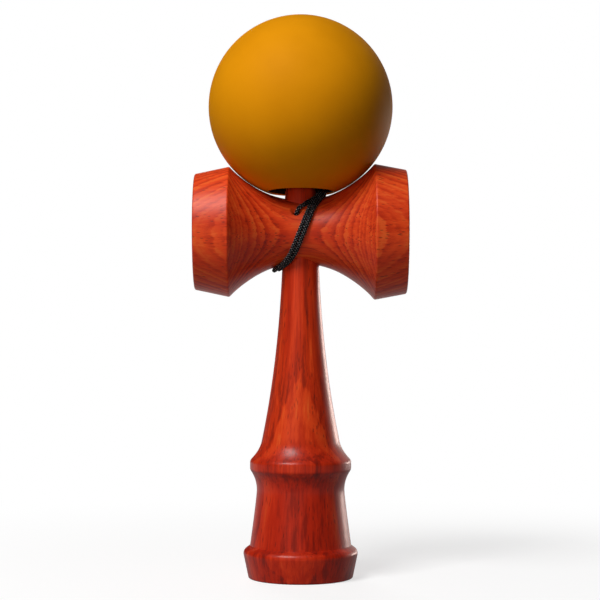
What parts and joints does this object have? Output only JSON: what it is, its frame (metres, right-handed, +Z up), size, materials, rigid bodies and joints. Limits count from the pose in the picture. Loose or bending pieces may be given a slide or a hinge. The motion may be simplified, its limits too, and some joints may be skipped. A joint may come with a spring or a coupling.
{
  "type": "kendama",
  "caption": "Cup-and-ball skill toy: a turned wooden handle with a spike, a push-fit cross piece with a cup at each end, and a painted ball on a string, set on the spike.",
  "frame": {"origin": "centre of the ken's base, on the surface that it stands on", "axes": "+Z up along the ken to the spike, +X along the sarado to its big cup, -Y to the front, where the string crosses the sarado"},
  "size_m": [0.069, 0.0617, 0.1844],
  "materials": {
    "ken_wood": "oiled, satin",
    "sarado_wood": "oiled, satin",
    "ball_paint": "tacky matte paint, bare wood in the hole",
    "bead": "matte",
    "string": "braided"
  },
  "bodies": {
    "ken": {"ken": "ken_wood"},
    "sarado": {"sarado": "sarado_wood", "anchor_knot": "string", "cord_lead": "string", "cord_winding": "string", "cord_slack": "string"},
    "string_end": {"bead": "bead", "bead_knot": "string", "cord_top": "string"},
    "tama": {"tama": "ball_paint"}
  },
  "joints": [
    {"name": "sarado_lift", "type": "slide", "parent": "ken", "child": "sarado", "axis": [0, 0, 1], "range_m": [0, 0.06]},
    {"name": "tama_lift", "type": "slide", "parent": "sarado", "child": "string_end", "axis": [0, 0.0698, 0.9976], "range_m": [0, 0.05], "deforming": ["cord_slack"]},
    {"name": "tama_spin", "type": "hinge", "parent": "string_end", "child": "tama", "pos_m": [0, 0, 0.15342], "axis": [0, 0.0698, 0.9976], "continuous": true}
  ]
}
